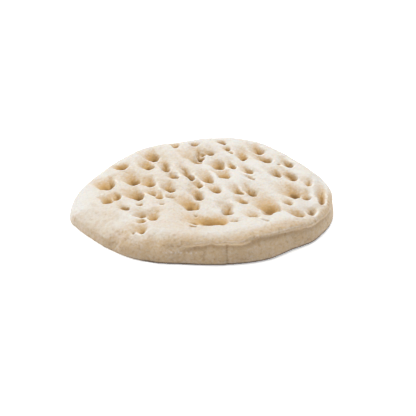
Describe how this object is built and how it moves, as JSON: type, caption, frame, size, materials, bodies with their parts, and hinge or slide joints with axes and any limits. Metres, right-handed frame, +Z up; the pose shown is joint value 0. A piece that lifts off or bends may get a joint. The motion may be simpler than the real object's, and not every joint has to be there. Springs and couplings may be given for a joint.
{
  "type": "pizza dough",
  "caption": "Thick oval piece of raw pizza dough, flat underneath, with a plump uneven rim and a top pressed all over by fingertips, dusted with flour and ready to bake.",
  "frame": {"origin": "middle of the flat base, under the centre of the bounding box", "axes": "+X along the oval to its right-hand end, +Z up out of the pressed top, and -Y towards the thick front side that faces the viewer"},
  "size_m": [0.2514, 0.189, 0.0286],
  "materials": {
    "dough": "raw wheat dough, soft and dull, cream where flour lies on the top and warm tan in the presses and on the sides"
  },
  "bodies": {
    "root": {"dough": "dough"}
  },
  "joints": []
}
